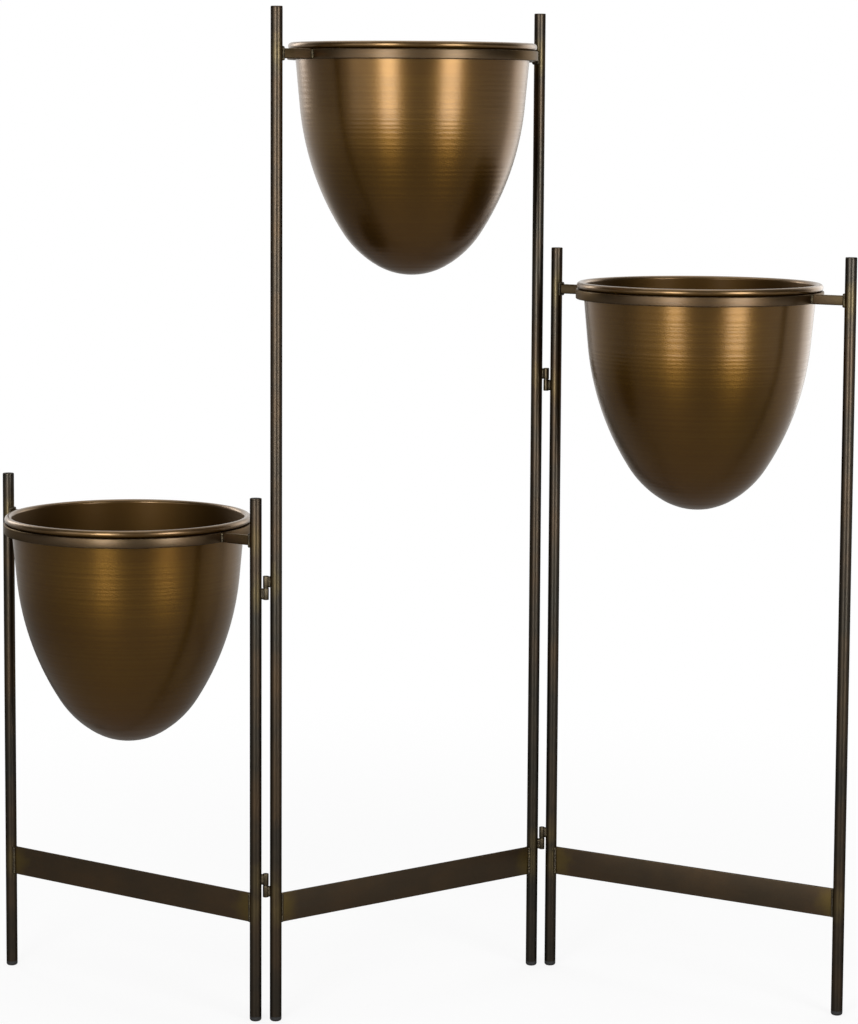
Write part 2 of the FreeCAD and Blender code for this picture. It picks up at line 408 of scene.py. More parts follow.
@dataclass(frozen=True)
class SpunBrass:
    """Antique brass of a spun pot: fine rings from the spinning tool under a thin lacquer.

    Attributes:
        name: Name of the material.
        rim: Middle of the rim.
        depth: Depth of the pot.
        shade: Colour of the wall.
        light: Colour of the tool rings.
        dark: Colour of the dark patches and specks.
        russet: Colour towards the bottom.
        dull: Colour of the inside: a duller finish, darkened further as painted shade in the pot's hollow.
        worn: Colour of the rubbed rim, which along the top of the curl is also a painted highlight.
        glance: Reflection at a grazing angle.
    """

    name: str
    rim: Triple
    depth: float
    shade: Colour = (0.126, 0.059, 0.0032)
    light: Colour = (0.166, 0.090, 0.0110)
    dark: Colour = (0.107, 0.046, 0.0024)
    russet: Colour = (0.118, 0.054, 0.0130)
    dull: Colour = (0.066, 0.035, 0.0100)
    worn: Colour = (0.25, 0.20, 0.14)
    glance: Colour = (0.92, 0.88, 0.83)

    def build(self, effects: Effects) -> Material:
        """Make the material.

        Args:
            effects: The shared node groups.

        Returns:
            The material.
        """
        material, web, place = new_material(self.name)
        centred = web.get("ShaderNodeMapping", {"Vector": place, "Location": self.rim}, vector_type="TEXTURE")
        below = web.times(web.get("ShaderNodeSeparateXYZ", {0: centred}, "Z"), -1.0)
        rings = web.get("ShaderNodeMapping", {"Vector": centred, "Scale": (0.0015, 0.0015, 1.0)})
        fine, coarse = effects.marks(web, rings, 1500.0, 420.0)
        band = web.times(web.spread(below, 0.022, 0.045), web.spread(below, 0.125, 0.080))
        lines = web.times(fine, web.times(band, 0.75, 0.25))
        cloud = effects.mottle(web, place, 9.0, 0.28, 0.76)
        speck = effects.mottle(web, place, 420.0, 0.52, 0.74)
        foot = web.spread(below, self.depth * 0.62, self.depth)
        curl = web.get("ShaderNodeAttribute", output="Fac", attribute_name="edge")
        rub = effects.rub(web, place, 90.0)
        inside = web.get("ShaderNodeAttribute", output="Fac", attribute_name="inside")
        colour = web.blend(cloud, self.dark, self.shade)
        layers = (
            (coarse, 0.16, self.light),
            (lines, 0.25, self.light),
            (foot, 0.65, self.russet),
            (speck, 0.20, self.dark),
            # The curl and its rub take the worn colour most along the curl's top: partly rubbed wear, partly a
            # painted highlight.
            (curl, 0.26, self.worn),
            (rub, 0.10, self.worn),
            # The inside's darker colour is partly its duller finish and partly painted shade in the hollow.
            (inside, 0.85, self.dull),
        )
        for mask, share, layer in layers:
            colour = web.blend(web.times(mask, share), colour, layer)
        rough = web.times(inside, 0.28, web.times(lines, 0.10, web.times(cloud, -0.03, 0.31)))
        height = web.times(lines, 0.5, web.times(coarse, web.times(band, 0.4, 0.1)))
        web.paint(base_color=colour, roughness=rough, normal=web.bump(height, 0.25, 0.00006), metallic=0.93)
        web.paint(tangent=web.get("ShaderNodeTangent", direction_type="UV_MAP", uv_map="turned"))
        web.paint(anisotropic=0.45, anisotropic_rotation=0.25, specular_tint=self.glance)
        web.paint(coat_weight=web.times(inside, -0.52, 0.54), coat_roughness=0.23)
        return material


@dataclass(frozen=True)
class WeldBronze:
    """Lacquered weld beads: olive from the heat and a little rougher than the bars."""

    name: str = "weld_bronze"
    shade: Colour = (0.056, 0.044, 0.028)
    tint: Colour = (0.085, 0.066, 0.034)
    soot: Colour = (0.036, 0.029, 0.020)
    glance: Colour = (0.30, 0.26, 0.20)

    def build(self, effects: Effects) -> Material:
        """Make the material.

        Args:
            effects: The shared node groups.

        Returns:
            The material.
        """
        material, web, place = new_material(self.name)
        cloud = effects.mottle(web, place, 160.0, 0.38, 0.64)
        grain = effects.mottle(web, place, 1500.0, 0.40, 0.66)
        colour = web.blend(web.times(grain, 0.35), web.blend(cloud, self.shade, self.tint), self.soot)
        web.paint(base_color=colour, roughness=web.times(grain, 0.15, 0.36), metallic=0.95)
        web.paint(normal=web.bump(grain, 0.4, 0.0001), specular_tint=self.glance)
        web.paint(coat_weight=0.25, coat_roughness=0.30)
        return material


@dataclass(frozen=True)
class GlidePlastic:
    """Black moulded plastic of the feet, scuffed pale where they slide."""

    name: str = "glide_plastic"
    shade: Colour = (0.013, 0.0125, 0.012)
    scuff: Colour = (0.050, 0.047, 0.044)
    scuff_height: float = 0.0022

    def build(self, effects: Effects) -> Material:
        """Make the material.

        Args:
            effects: The shared node groups.

        Returns:
            The material.
        """
        material, web, place = new_material(self.name)
        grain = effects.mottle(web, place, 2200.0, 0.38, 0.62)
        patch = effects.mottle(web, place, 300.0, 0.50, 0.72)
        low = web.spread(web.get("ShaderNodeSeparateXYZ", {0: place}, "Z"), self.scuff_height, 0.0)
        colour = web.blend(web.times(web.times(patch, low), 0.8), self.shade, self.scuff)
        web.paint(base_color=colour, roughness=web.times(grain, 0.12, 0.48), normal=web.bump(grain, 0.35, 0.00008))
        return material


@dataclass(frozen=True)
class PinSteel:
    """Turned steel of the hinge pins."""

    name: str = "pin_steel"
    shade: Colour = (0.42, 0.41, 0.39)
    dull: Colour = (0.24, 0.22, 0.20)

    def build(self, effects: Effects) -> Material:
        """Make the material.

        Args:
            effects: The shared node groups.

        Returns:
            The material.
        """
        material, web, place = new_material(self.name)
        rings = web.get("ShaderNodeMapping", {"Vector": place, "Scale": (0.05, 0.05, 1.0)})
        fine, coarse = effects.marks(web, rings, 3000.0, 900.0)
        colour = web.blend(web.times(coarse, 0.6), self.shade, self.dull)
        web.paint(base_color=colour, roughness=web.times(fine, 0.2, 0.25), metallic=1.0)
        web.paint(normal=web.bump(fine, 0.2, 0.00005))
        return material


class Trees:
    """Geometry Nodes trees for the pieces that follow a path or a rule, each built once."""

    def __init__(self) -> None:
        """Build every tree."""
        self.tube = self._tube()
        self.beads = self._beads()
        self.ridges = self._ridges()

    @staticmethod
    def _begin(name: str, inputs: dict[str, str]) -> tuple[Web, bpy.types.NodeOutputs, Socket]:
        """Start a tree that takes a geometry, a few values and a finish.

        Args:
            name: Name of the tree.
            inputs: Names of the values and what they carry.

        Returns:
            A web on the tree, its input sockets and the socket that takes the result.
        """
        kinds = {"Geometry": "Geometry", **inputs, "Finish": "Material"}
        web, given, made = open_tree(name, "GeometryNodeTree", kinds, {"Geometry": "Geometry"})
        return web, given, made["Geometry"]

    @staticmethod
    def _end(web: Web, shape: Socket, finish: Socket, result: Socket) -> Tree:
        """Realize the instances, set the finish and close the tree.

        Args:
            web: The tree's web.
            shape: Geometry to finish.
            finish: Socket of the material.
            result: Socket that takes the result.

        Returns:
            The tree.
        """
        whole = web.get("GeometryNodeRealizeInstances", {"Geometry": shape})
        web.feed(result, web.get("GeometryNodeSetMaterial", {"Geometry": whole, "Material": finish}))
        return web.tree

    def _tube(self) -> Tree:
        """Round tube with closed ends along a line.

        Returns:
            The tree.
        """
        web, given, result = self._begin("drawn tube", {"Radius": "Float", "Sides": "Int", "Stations": "Int"})
        line = web.get("GeometryNodeMeshToCurve", {"Mesh": given["Geometry"]})
        line = web.get("GeometryNodeResampleCurve", {"Curve": line, "Count": given["Stations"]})
        circle = {"Radius": given["Radius"], "Resolution": given["Sides"]}
        ring = web.get("GeometryNodeCurvePrimitiveCircle", circle)
        tube = web.get("GeometryNodeCurveToMesh", {"Curve": line, "Profile Curve": ring, "Fill Caps": True})
        upright = web.get("ShaderNodeSeparateXYZ", {0: web.get("GeometryNodeInputNormal")}, "Z")
        wall = web.get("FunctionNodeCompare", {0: web.calc("ABSOLUTE", upright), 1: 0.5}, operation="LESS_THAN")
        smooth = web.get("GeometryNodeSetShadeSmooth", {"Geometry": tube, "Shade Smooth": wall})
        return self._end(web, smooth, given["Finish"], result)

    def _beads(self) -> Tree:
        """Overlapping weld ripples along every path.

        Returns:
            The tree.
        """
        kinds = {"Radius": "Float", "Pitch": "Float", "Unevenness": "Float", "Seed": "Int"}
        web, given, result = self._begin("laid beads", kinds)
        path = web.get("GeometryNodeMeshToCurve", {"Mesh": given["Geometry"]})
        path = web.get("GeometryNodeResampleCurve", {"Curve": path, "Length": given["Pitch"]}, mode="LENGTH")
        ripple = web.get("GeometryNodeMeshIcoSphere", {"Radius": given["Radius"], "Subdivisions": 2}, "Mesh")
        low = web.calc("SUBTRACT", 1.0, given["Unevenness"])
        high = web.calc("ADD", 1.0, given["Unevenness"])
        range_of = {2: low, 3: high, "Seed": given["Seed"]}
        size = web.get("FunctionNodeRandomValue", range_of, 1, data_type="FLOAT")
        run = web.get("GeometryNodeInputTangent")
        facing = web.get("FunctionNodeAlignRotationToVector", {"Vector": run}, axis="Z")
        squat = web.get("ShaderNodeCombineXYZ", {0: size, 1: size, 2: web.times(size, 0.9)})
        inputs = {"Points": path, "Instance": ripple, "Rotation": facing, "Scale": squat}
        beads = web.get("GeometryNodeInstanceOnPoints", inputs)
        smooth = web.get("GeometryNodeSetShadeSmooth", {"Geometry": beads})
        return self._end(web, smooth, given["Finish"], result)

    def _ridges(self) -> Tree:
        """Shallow rings that the spinning tool leaves in a turned wall.

        Returns:
            The tree.
        """
        web, given, result = self._begin("spun ridges", {"Pitch": "Float", "Depth": "Float", "Seed": "Float"})
        height = web.get("ShaderNodeSeparateXYZ", {0: web.get("GeometryNodeInputPosition")}, "Z")
        drift = {"W": web.times(height, 55.0, given["Seed"]), "Scale": 1.0, "Detail": 2.0}
        wander = web.get("ShaderNodeTexNoise", drift, noise_dimensions="1D")
        turns = web.times(wander, 3.0, web.calc("DIVIDE", height, given["Pitch"]))
        wave = web.calc("SINE", web.times(turns, math.tau))
        wall = web.get("GeometryNodeInputNamedAttribute", {"Name": "wall"}, data_type="FLOAT")
        lift = web.times(web.times(wave, wall), web.times(given["Depth"], wander))
        moves = {0: web.get("GeometryNodeInputNormal"), "Scale": lift}
        offset = web.get("ShaderNodeVectorMath", moves, operation="SCALE")
        moved = web.get("GeometryNodeSetPosition", {"Geometry": given["Geometry"], "Offset": offset})
        return self._end(web, moved, given["Finish"], result)


def grown(name: str, seed_mesh: Mesh, tree: Tree, values: dict[str, object]) -> Piece:
    """Run a Geometry Nodes tree on a mesh and keep the result as a plain mesh.

    Args:
        name: Name of the piece.
        seed_mesh: Mesh that the tree starts from.
        tree: The tree.
        values: Input names and their values.

    Returns:
        The piece.
    """
    piece = bpy.data.objects.new(name, seed_mesh)
    bpy.context.scene.collection.objects.link(piece)
    modifier = piece.modifiers.new("nodes", "NODES")
    modifier.node_group = tree
    for item in tree.interface.items_tree:
        if item.in_out == "INPUT" and item.name in values:
            modifier[item.identifier] = values[item.name]
    graph = bpy.context.evaluated_depsgraph_get()
    mesh = bpy.data.meshes.new_from_object(piece.evaluated_get(graph), depsgraph=graph)
    piece.modifiers.remove(modifier)
    piece.data = mesh
    mesh.name = name
    return piece


def placed(name: str, mesh: Mesh, finish: Material) -> Piece:
    """Make an object of a finished mesh.

    Args:
        name: Name of the piece.
        mesh: Its mesh.
        finish: Its material.

    Returns:
        The piece.
    """
    mesh.materials.append(finish)
    piece = bpy.data.objects.new(name, mesh)
    bpy.context.scene.collection.objects.link(piece)
    return piece


def settle(piece: Piece, body: str, slot: Slot, *nodes: str) -> None:
    """Give a finished piece its body and hide the CAD nodes that it stands for.

    Args:
        piece: The piece.
        body: Body that it rides on.
        slot: Material slot; not used.
        nodes: CAD nodes that it replaces.
    """
    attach(piece, body)
    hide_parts(*nodes)
    log.info("%s: %d faces on %s", piece.name, len(piece.data.polygons), body)


def paths_mesh(name: str, paths: list[list[Vector]]) -> Mesh:
    """Mesh of bare edges, one chain for each path.

    Args:
        name: Name of the mesh.
        paths: Points of each path.

    Returns:
        The mesh.
    """
    points: list[Vector] = []
    edges: list[tuple[int, int]] = []
    for path in paths:
        first = len(points)
        points += path
        edges += [(first + i, first + i + 1) for i in range(len(path) - 1)]
    mesh = bpy.data.meshes.new(name)
    mesh.from_pydata(points, edges, [])
    return mesh


def smooth_mesh(name: str, shape: bmesh.types.BMesh) -> Mesh:
    """Close a shape as a smooth mesh with sharp corners.

    Args:
        name: Name of the mesh.
        shape: The shape, which is freed.

    Returns:
        The mesh.
    """
    mesh = bpy.data.meshes.new(name)
    shape.to_mesh(mesh)
    shape.free()
    mesh.shade_smooth()
    mesh.set_sharp_from_angle(angle=SHARP)
    return mesh


def box_of(node: str) -> tuple[Vector, Vector]:
    """Lowest and highest corner of a CAD node's box."""
    low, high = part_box(node)
    return Vector(low), Vector(high)


def middle_of(node: str) -> Vector:
    """Middle of a CAD node's box."""
    low, high = box_of(node)
    return (low + high) / 2


def axis_of(node: str, height: float = 0.0) -> Vector:
    """Point of the upright middle line of a CAD node, at a height."""
    middle = middle_of(node)
    return Vector((middle.x, middle.y, height))


@dataclass(frozen=True)
class Mark:
    """One point of a turned or drawn outline.

    Attributes:
        out: Distance from the axis, or across a bar.
        up: Height.
        edge: How much of an edge it is, for wear; on a pot's curl also for its painted highlight.
        wall: How much of a spun wall it is, for tool rings.
        inside: Whether it is on the inside of a pot.
    """

    out: float
    up: float
    edge: float = 0.0
    wall: float = 0.0
    inside: float = 0.0


def corner(out: float, up: float, radius: float, start: float, end: float, steps: int = 4) -> list[Mark]:
    """Rounded corner of an outline, worn at its middle.

    Args:
        out: Distance of the arc's centre from the axis.
        up: Height of the arc's centre.
        radius: Radius of the arc.
        start: Angle of the first point from the outward direction, in degrees.
        end: Angle of the last point.
        steps: Number of runs.

    Returns:
        The points.
    """
    marks = []
    for i in range(steps + 1):
        angle = math.radians(start + (end - start) * i / steps)
        wear = math.sin(math.pi * i / steps)
        marks.append(Mark(out + radius * math.cos(angle), up + radius * math.sin(angle), wear))
    return marks


@dataclass(frozen=True)
class Lathe:
    """Turns outlines about an upright axis.

    Attributes:
        centre: Where the axis stands, at the height of the outline's zero.
        segments: Number of steps round the axis.
    """

    centre: Vector
    segments: int

    def turn(self, name: str, outline: list[Mark], loop: bool = False) -> Mesh:
        """Turn an outline, which runs upwards on the outside.

        Args:
            name: Name of the mesh.
            outline: Points of the outline.
            loop: Whether the outline closes on itself, as a ring's does.

        Returns:
            The mesh.
        """
        shape = bmesh.new()
        layers = {key: shape.verts.layers.float.new(key) for key in ("edge", "wall", "inside")}
        uv_layer = shape.loops.layers.uv.new("turned")
        rows = [self._row(shape, mark, layers) for mark in outline]
        spans = len(rows) if loop else len(rows) - 1
        for i in range(spans):
            lower, upper = rows[i], rows[(i + 1) % len(rows)]
            for j in range(self.segments):
                quad = ((lower, j, i), (lower, j + 1, i), (upper, j + 1, i + 1), (upper, j, i + 1))
                corners = [(row[a % len(row)], a / self.segments, b / spans) for row, a, b in quad]
                kept = [c for k, c in enumerate(corners) if c[0] is not corners[k - 1][0]]
                face = shape.faces.new([vert for vert, _, _ in kept])
                for face_loop, (_, u, v) in zip(face.loops, kept):
                    face_loop[uv_layer].uv = (u, v)
        return smooth_mesh(name, shape)

    def _row(self, shape: bmesh.types.BMesh, mark: Mark, layers: dict[str, object]) -> list[bmesh.types.BMVert]:
        """Add the points of one outline point round the axis, or one point on the axis.

        Args:
            shape: Mesh in the making.
            mark: The outline's point.
            layers: Layers of the outline's marks, by their names.

        Returns:
            The points.
        """
        row = []
        for j in range(1 if mark.out == 0.0 else self.segments):
            angle = math.tau * j / self.segments
            place = Vector((mark.out * math.cos(angle), mark.out * math.sin(angle), mark.up))
            vert = shape.verts.new(self.centre + place)
            for key, layer in layers.items():
                vert[layer] = getattr(mark, key)
            row.append(vert)
        return row


@dataclass(frozen=True)
class FlatBar:
    """Flat bar on edge between two points, with eased corners.

    Attributes:
        start: Middle of one end.
        end: Middle of the other end.
        height: Height of the bar.
        thickness: Thickness of the bar.
        ease: Radius of its corners.
        stations: Number of runs along it.
    """

    start: Vector
    end: Vector
    height: float
    thickness: float
    ease: float
    stations: int

    def mesh(self, name: str) -> Mesh:
        """Make the bar.

        Args:
            name: Name of the mesh.

        Returns:
            The mesh.
        """
        out, up = self.thickness / 2 - self.ease, self.height / 2 - self.ease
        outline: list[Mark] = []
        for side, level, start in ((out, up, 0), (-out, up, 90), (-out, -up, 180), (out, -up, 270)):
            outline += corner(side, level, self.ease, start, start + 90)
        run = self.end - self.start
        across = Vector((-run.y, run.x, 0.0)).normalized()
        shape = bmesh.new()
        edge_layer = shape.verts.layers.float.new("edge")
        rows = []
        for i in range(self.stations + 1):
            middle = self.start + run * (i / self.stations)
            row = []
            for mark in outline:
                vert = shape.verts.new(middle + across * mark.out + UP * mark.up)
                vert[edge_layer] = mark.edge
                row.append(vert)
            rows.append(row)
        for lower, upper in zip(rows, rows[1:]):
            for j in range(len(outline)):
                shape.faces.new((lower[j - 1], lower[j], upper[j], upper[j - 1]))
        shape.faces.new(rows[0])
        shape.faces.new(rows[-1])
        bmesh.ops.recalc_face_normals(shape, faces=shape.faces)
        return smooth_mesh(name, shape)


@dataclass(frozen=True)
class Pot:
    """Spun pot with a curled rim, hung loose in its ring.

    Attributes:
        panel: Panel that carries it.
        sheet: Thickness of the sheet.
        radii: Radii of the three arcs from the bottom up.
        turns: Slope at the end of each arc, in degrees.
        curl_radius: Outer radius of the curl.
        curl_turn: How far the sheet is curled, in degrees.
        curl_steps: Number of runs round the curl.
        curl_wear_and_highlight: Lightening of the curl at half its height, and how much more at its top; rubbed
            wear plus a painted highlight where the rim faces up.
        step: Length of the runs along the outer wall.
        inner_step: Length of the runs along the inner wall.
        segments: Number of steps round the pot.
        ridge_pitch: Spacing of the tool rings.
        ridge_depth: Depth of the tool rings.
        seed_step: How far apart the seeds of two pots' tool rings are.
    """

    panel: Panel
    sheet: float = 0.001
    radii: Triple = (0.0708, 0.1052, 0.288)
    turns: Triple = (30.0, 57.5, 84.7)
    curl_radius: float = 0.0037
    curl_turn: float = 285.0
    curl_steps: int = 28
    curl_wear_and_highlight: tuple[float, float] = (0.45, 0.55)
    step: float = 0.0009
    inner_step: float = 0.003
    segments: int = 160
    ridge_pitch: float = 0.0052
    ridge_depth: float = 0.00006
    seed_step: float = 7.0

    @property
    def node(self) -> str:
        """The pot's CAD node, which is also its body."""
        return f"{self.panel.value}_pot"

    def _arcs(self, inset: float, step: float) -> list[Mark]:
        """Points up one face of the wall, from the middle of the bottom to the neck.

        Args:
            inset: Distance of the face inside the outer one.
            step: Length of the runs.

        Returns:
            The points.
        """
        inside = 1.0 if inset else 0.0
        marks = [Mark(0.0, inset, 0.0, 1.0, inside)]
        out, up, start = 0.0, 0.0, 0.0
        for radius, turn in zip(self.radii, self.turns):
            end = math.radians(turn)
            centre_out = out - radius * math.sin(start)
            centre_up = up + radius * math.cos(start)
            runs = max(2, round(radius * (end - start) / step))
            reach = radius - inset
            for i in range(1, runs + 1):
                angle = start + (end - start) * i / runs
                place = centre_out + reach * math.sin(angle), centre_up - reach * math.cos(angle)
                marks.append(Mark(*place, 0.0, 1.0, inside))
            out = centre_out + radius * math.sin(end)
            up = centre_up - radius * math.cos(end)
            start = end
        return marks

    def outline(self, height: float) -> list[Mark]:
        """Whole outline: up the outer wall, round the curl and down the inner wall.

        Args:
            height: Height of the pot from its bottom to the top of its curl.

        Returns:
            The points.
        """
        outer = self._arcs(0.0, self.step)
        inner = self._arcs(self.sheet, self.inner_step)
        slope = math.radians(self.turns[-1])
        out, rise = (math.sin(slope), -math.cos(slope)), (math.cos(slope), math.sin(slope))
        bore = self.curl_radius - self.sheet
        last, inner_last = outer[-1], inner[-1]
        length = (height - self.curl_radius - bore * out[1] - last.up) / rise[1]
        runs = max(2, round(length / self.step))
        for i in range(1, runs + 1):
            right, up = (length * i / runs * share for share in rise)
            outer.append(Mark(last.out + right, last.up + up, 0.0, 1.0 - i / runs))
            inner.append(Mark(inner_last.out + right, inner_last.up + up, 0.0, 0.0, 1.0))
        centre_out = outer[-1].out + out[0] * bore
        centre_up = outer[-1].up + out[1] * bore
        inside, outside = [], []
        for i in range(1, self.curl_steps + 1):
            angle = math.radians(self.curl_turn * i / self.curl_steps)
            right = rise[0] * math.sin(angle) - out[0] * math.cos(angle)
            up = rise[1] * math.sin(angle) - out[1] * math.cos(angle)
            # Lighter towards the top of the curl: rubbed wear plus a painted highlight where the rim faces up.
            wear = max(0.0, self.curl_wear_and_highlight[0] + self.curl_wear_and_highlight[1] * up)
            inside.append(Mark(centre_out + right * bore, centre_up + up * bore))
            outside.append(Mark(centre_out + right * self.curl_radius, centre_up + up * self.curl_radius, wear))
        return outer + inside + outside[::-1] + inner[::-1]

    def build(self, trees: Trees, effects: Effects) -> None:
        """Make the pot and give it its finish.

        Args:
            trees: The Geometry Nodes trees.
            effects: The shared shader groups.
        """
        low, high = box_of(self.node)
        foot = axis_of(self.node, low.z)
        rim = (foot.x, foot.y, high.z)
        finish = SpunBrass(f"{self.panel.value}_spun_brass", rim, high.z - low.z).build(effects)
        mesh = Lathe(foot, self.segments).turn(f"{self.node}_sheet", self.outline(high.z - low.z))
        mesh.materials.append(finish)
        seed = self.seed_step * list(Panel).index(self.panel)
        values = {"Pitch": self.ridge_pitch, "Depth": self.ridge_depth, "Seed": seed, "Finish": finish}
        settle(grown(f"{self.node}_spun", mesh, trees.ridges, values), self.node, Slot.POT, self.node)


@dataclass(frozen=True)
class Hinge:
    """Pinned barrel hinge between the middle panel and a side panel.

    Attributes:
        hand: The side panel.
        level: Which of the joint's two hinges.
        ease: Eased end of each knuckle.
        segments: Number of steps round a knuckle.
    """

    hand: Panel
    level: Level
    ease: float = 0.0005
    segments: int = 40

    def owner(self, half: str) -> Panel:
        """Panel that carries the top or the bottom knuckle."""
        on_middle = (half == "top") == (self.level is Level.UPPER)
        return Panel.MIDDLE if on_middle else self.hand

    def node(self, piece: str) -> str:
        """CAD node of one of the hinge's pieces."""
        return f"{self.hand.value}_{self.level.value}_hinge_{piece}"

    def build(self, finishes: dict[Panel, Material], steel: Material) -> None:
        """Make the knuckles and give the pin its finish.

        Args:
            finishes: Bronze of each panel's knuckles.
            steel: Finish of the pin.
        """
        for half in HALVES:
            node, owner = self.node(f"{half}_knuckle"), self.owner(half)
            low, high = box_of(node)
            out, length = (high.x - low.x) / 2 - self.ease, high.z - low.z
            outline = [Mark(0.0, 0.0), *corner(out, self.ease, self.ease, -90, 0)]
            outline += [*corner(out, length - self.ease, self.ease, 0, 90), Mark(0.0, length)]
            mesh = Lathe(axis_of(node, low.z), self.segments).turn(node, outline)
            settle(placed(f"{node}_turned", mesh, finishes[owner]), owner.body, Slot.FRAME, node)
        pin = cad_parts[self.node("pin")]
        pin.data.materials.clear()
        pin.data.materials.append(steel)
        log.info("%s: kept from the CAD model", pin.name)


@dataclass(frozen=True)
class StandPanel:
    """One stand panel: two posts, a stretcher, a ring on two arms, and its welds.

    Attributes:
        panel: Which panel.
        hinges: Hinges at its sides.
        post_radius: Radius of the tube.
        post_sides: Number of steps round the tube, its cap and its foot.
        post_stations: Number of points along the tube.
        cap_ease: Radius of the cap's edge.
        foot_ease: Radius of the foot's edge.
        seam: Groove between the tube and its cap or foot.
        bar_thickness: Thickness of the ring's and arms' bar.
        bar_ease: Radius of that bar's corners.
        ring_segments: Number of steps round the ring.
        stretcher_thickness: Thickness of the stretcher.
        stretcher_ease: Radius of its corners.
        stretcher_stations: Number of runs along it.
        arm_stations: Number of runs along an arm.
        bead_radius: Radius of the weld beads.
        bead_standoff: How far a bead's middle stands off the faces it joins.
        hinge_bead_radius: Radius of the beads behind the knuckles.
        bead_pitch: Spacing of the weld ripples.
        sink: How far a bar runs into the piece that it is welded to.
    """

    panel: Panel
    hinges: tuple[Hinge, ...]
    post_radius: float = 0.006
    post_sides: int = 48
    post_stations: int = 60
    cap_ease: float = 0.0008
    foot_ease: float = 0.0025
    seam: float = 0.0003
    bar_thickness: float = 0.006
    bar_ease: float = 0.0011
    ring_segments: int = 192
    stretcher_thickness: float = 0.003
    stretcher_ease: float = 0.0007
    stretcher_stations: int = 80
    arm_stations: int = 12
    bead_radius: float = 0.0016
    bead_standoff: float = 0.0006
    hinge_bead_radius: float = 0.0026
    bead_pitch: float = 0.0011
    sink: float = 0.002

    def node(self, piece: str) -> str:
        """CAD node of one of the panel's pieces."""
        return f"{self.panel.value}_{piece}"

    def knuckles(self) -> list[str]:
        """CAD nodes of the knuckles that this panel carries."""
        pairs = [(hinge, half) for hinge in self.hinges for half in HALVES]
        return [hinge.node(f"{half}_knuckle") for hinge, half in pairs if hinge.owner(half) is self.panel]

    def post_points(self) -> list[Vector]:
        """Plan positions of the two posts, on the floor."""
        return [axis_of(f"{name}_post") for name in self.panel.posts]

    def weld_places(self) -> tuple[Triple, ...]:
        """Where the heat of a weld has tinted the panel.

        Returns:
            The places.
        """
        places = []
        ring, bar = middle_of(self.node("ring")), middle_of(self.node("stretcher"))
        for post in self.post_points():
            edge = post + (ring - post).to_2d().normalized().to_3d() * self.post_radius
            places += [(edge.x, edge.y, ring.z), (edge.x, edge.y, bar.z)]
        return tuple(places + [tuple(middle_of(node)) for node in self.knuckles()])

    def build(self, trees: Trees, effects: Effects, weld: Material, plastic: Material) -> Material:
        """Make the whole panel.

        Args:
            trees: The Geometry Nodes trees.
            effects: The shared shader groups.
            weld: Finish of the beads.
            plastic: Finish of the feet.

        Returns:
            The finish of the knuckles.
        """
        left, right = self.post_points()
        turn = math.atan2(right.y - left.y, right.x - left.x)
        welds, hub = self.weld_places(), tuple(middle_of(self.node("ring")))
        drawn = FrameBronze(self.node("post_bronze"), Lay.UP, welds).build(effects)
        flat = FrameBronze(self.node("bar_bronze"), Lay.ALONG, welds, turn, **STRETCHER_LOOK).build(effects)
        rolled = FrameBronze(self.node("ring_bronze"), Lay.ROUND, welds, centre=hub, **RING_LOOK).build(effects)
        cast = FrameBronze(self.node("knuckle_bronze"), Lay.UP, welds, **KNUCKLE_LOOK).build(effects)
        for name in self.panel.posts:
            self._post(name, trees, drawn, plastic)
        self._bars(flat, rolled)
        self._ring(rolled)
        self._welds(trees, weld)
        return cast

    def _post(self, name: str, trees: Trees, finish: Material, plastic: Material) -> None:
        """Make one post with its cap and foot.

        Args:
            name: Name of the post.
            trees: The Geometry Nodes trees.
            finish: Finish of the tube and cap.
            plastic: Finish of the foot.
        """
        low, high = (corner_point.z for corner_point in box_of(f"{name}_post"))
        top = box_of(f"{name}_post_cap")[1].z
        axis, r, seam = axis_of(f"{name}_post"), self.post_radius, self.seam
        line = paths_mesh(f"{name}_line", [[axis + UP * low, axis + UP * high]])
        values = {"Radius": r, "Sides": self.post_sides, "Stations": self.post_stations, "Finish": finish}
        tube = grown(f"{name}_post_drawn", line, trees.tube, values)
        settle(tube, self.panel.body, Slot.FRAME, f"{name}_post")
        lathe = Lathe(axis, self.post_sides)
        outline = [Mark(0.0, high), Mark(r - seam, high), Mark(r, high + seam, 0.3)]
        outline += [*corner(r - self.cap_ease, top - self.cap_ease, self.cap_ease, 0, 90, 5), Mark(0.0, top)]
        cap = placed(f"{name}_cap_pressed", lathe.turn(f"{name}_cap", outline), finish)
        settle(cap, self.panel.body, Slot.FRAME, f"{name}_post_cap")
        outline = [Mark(0.0, 0.0), *corner(r - self.foot_ease, self.foot_ease, self.foot_ease, -90, 0, 7)]
        outline += [Mark(r, low - seam), Mark(r - seam, low), Mark(0.0, low)]
        foot = placed(f"{name}_foot_moulded", lathe.turn(f"{name}_foot", outline), plastic)
        settle(foot, self.panel.body, Slot.GLIDE, f"{name}_post_foot")

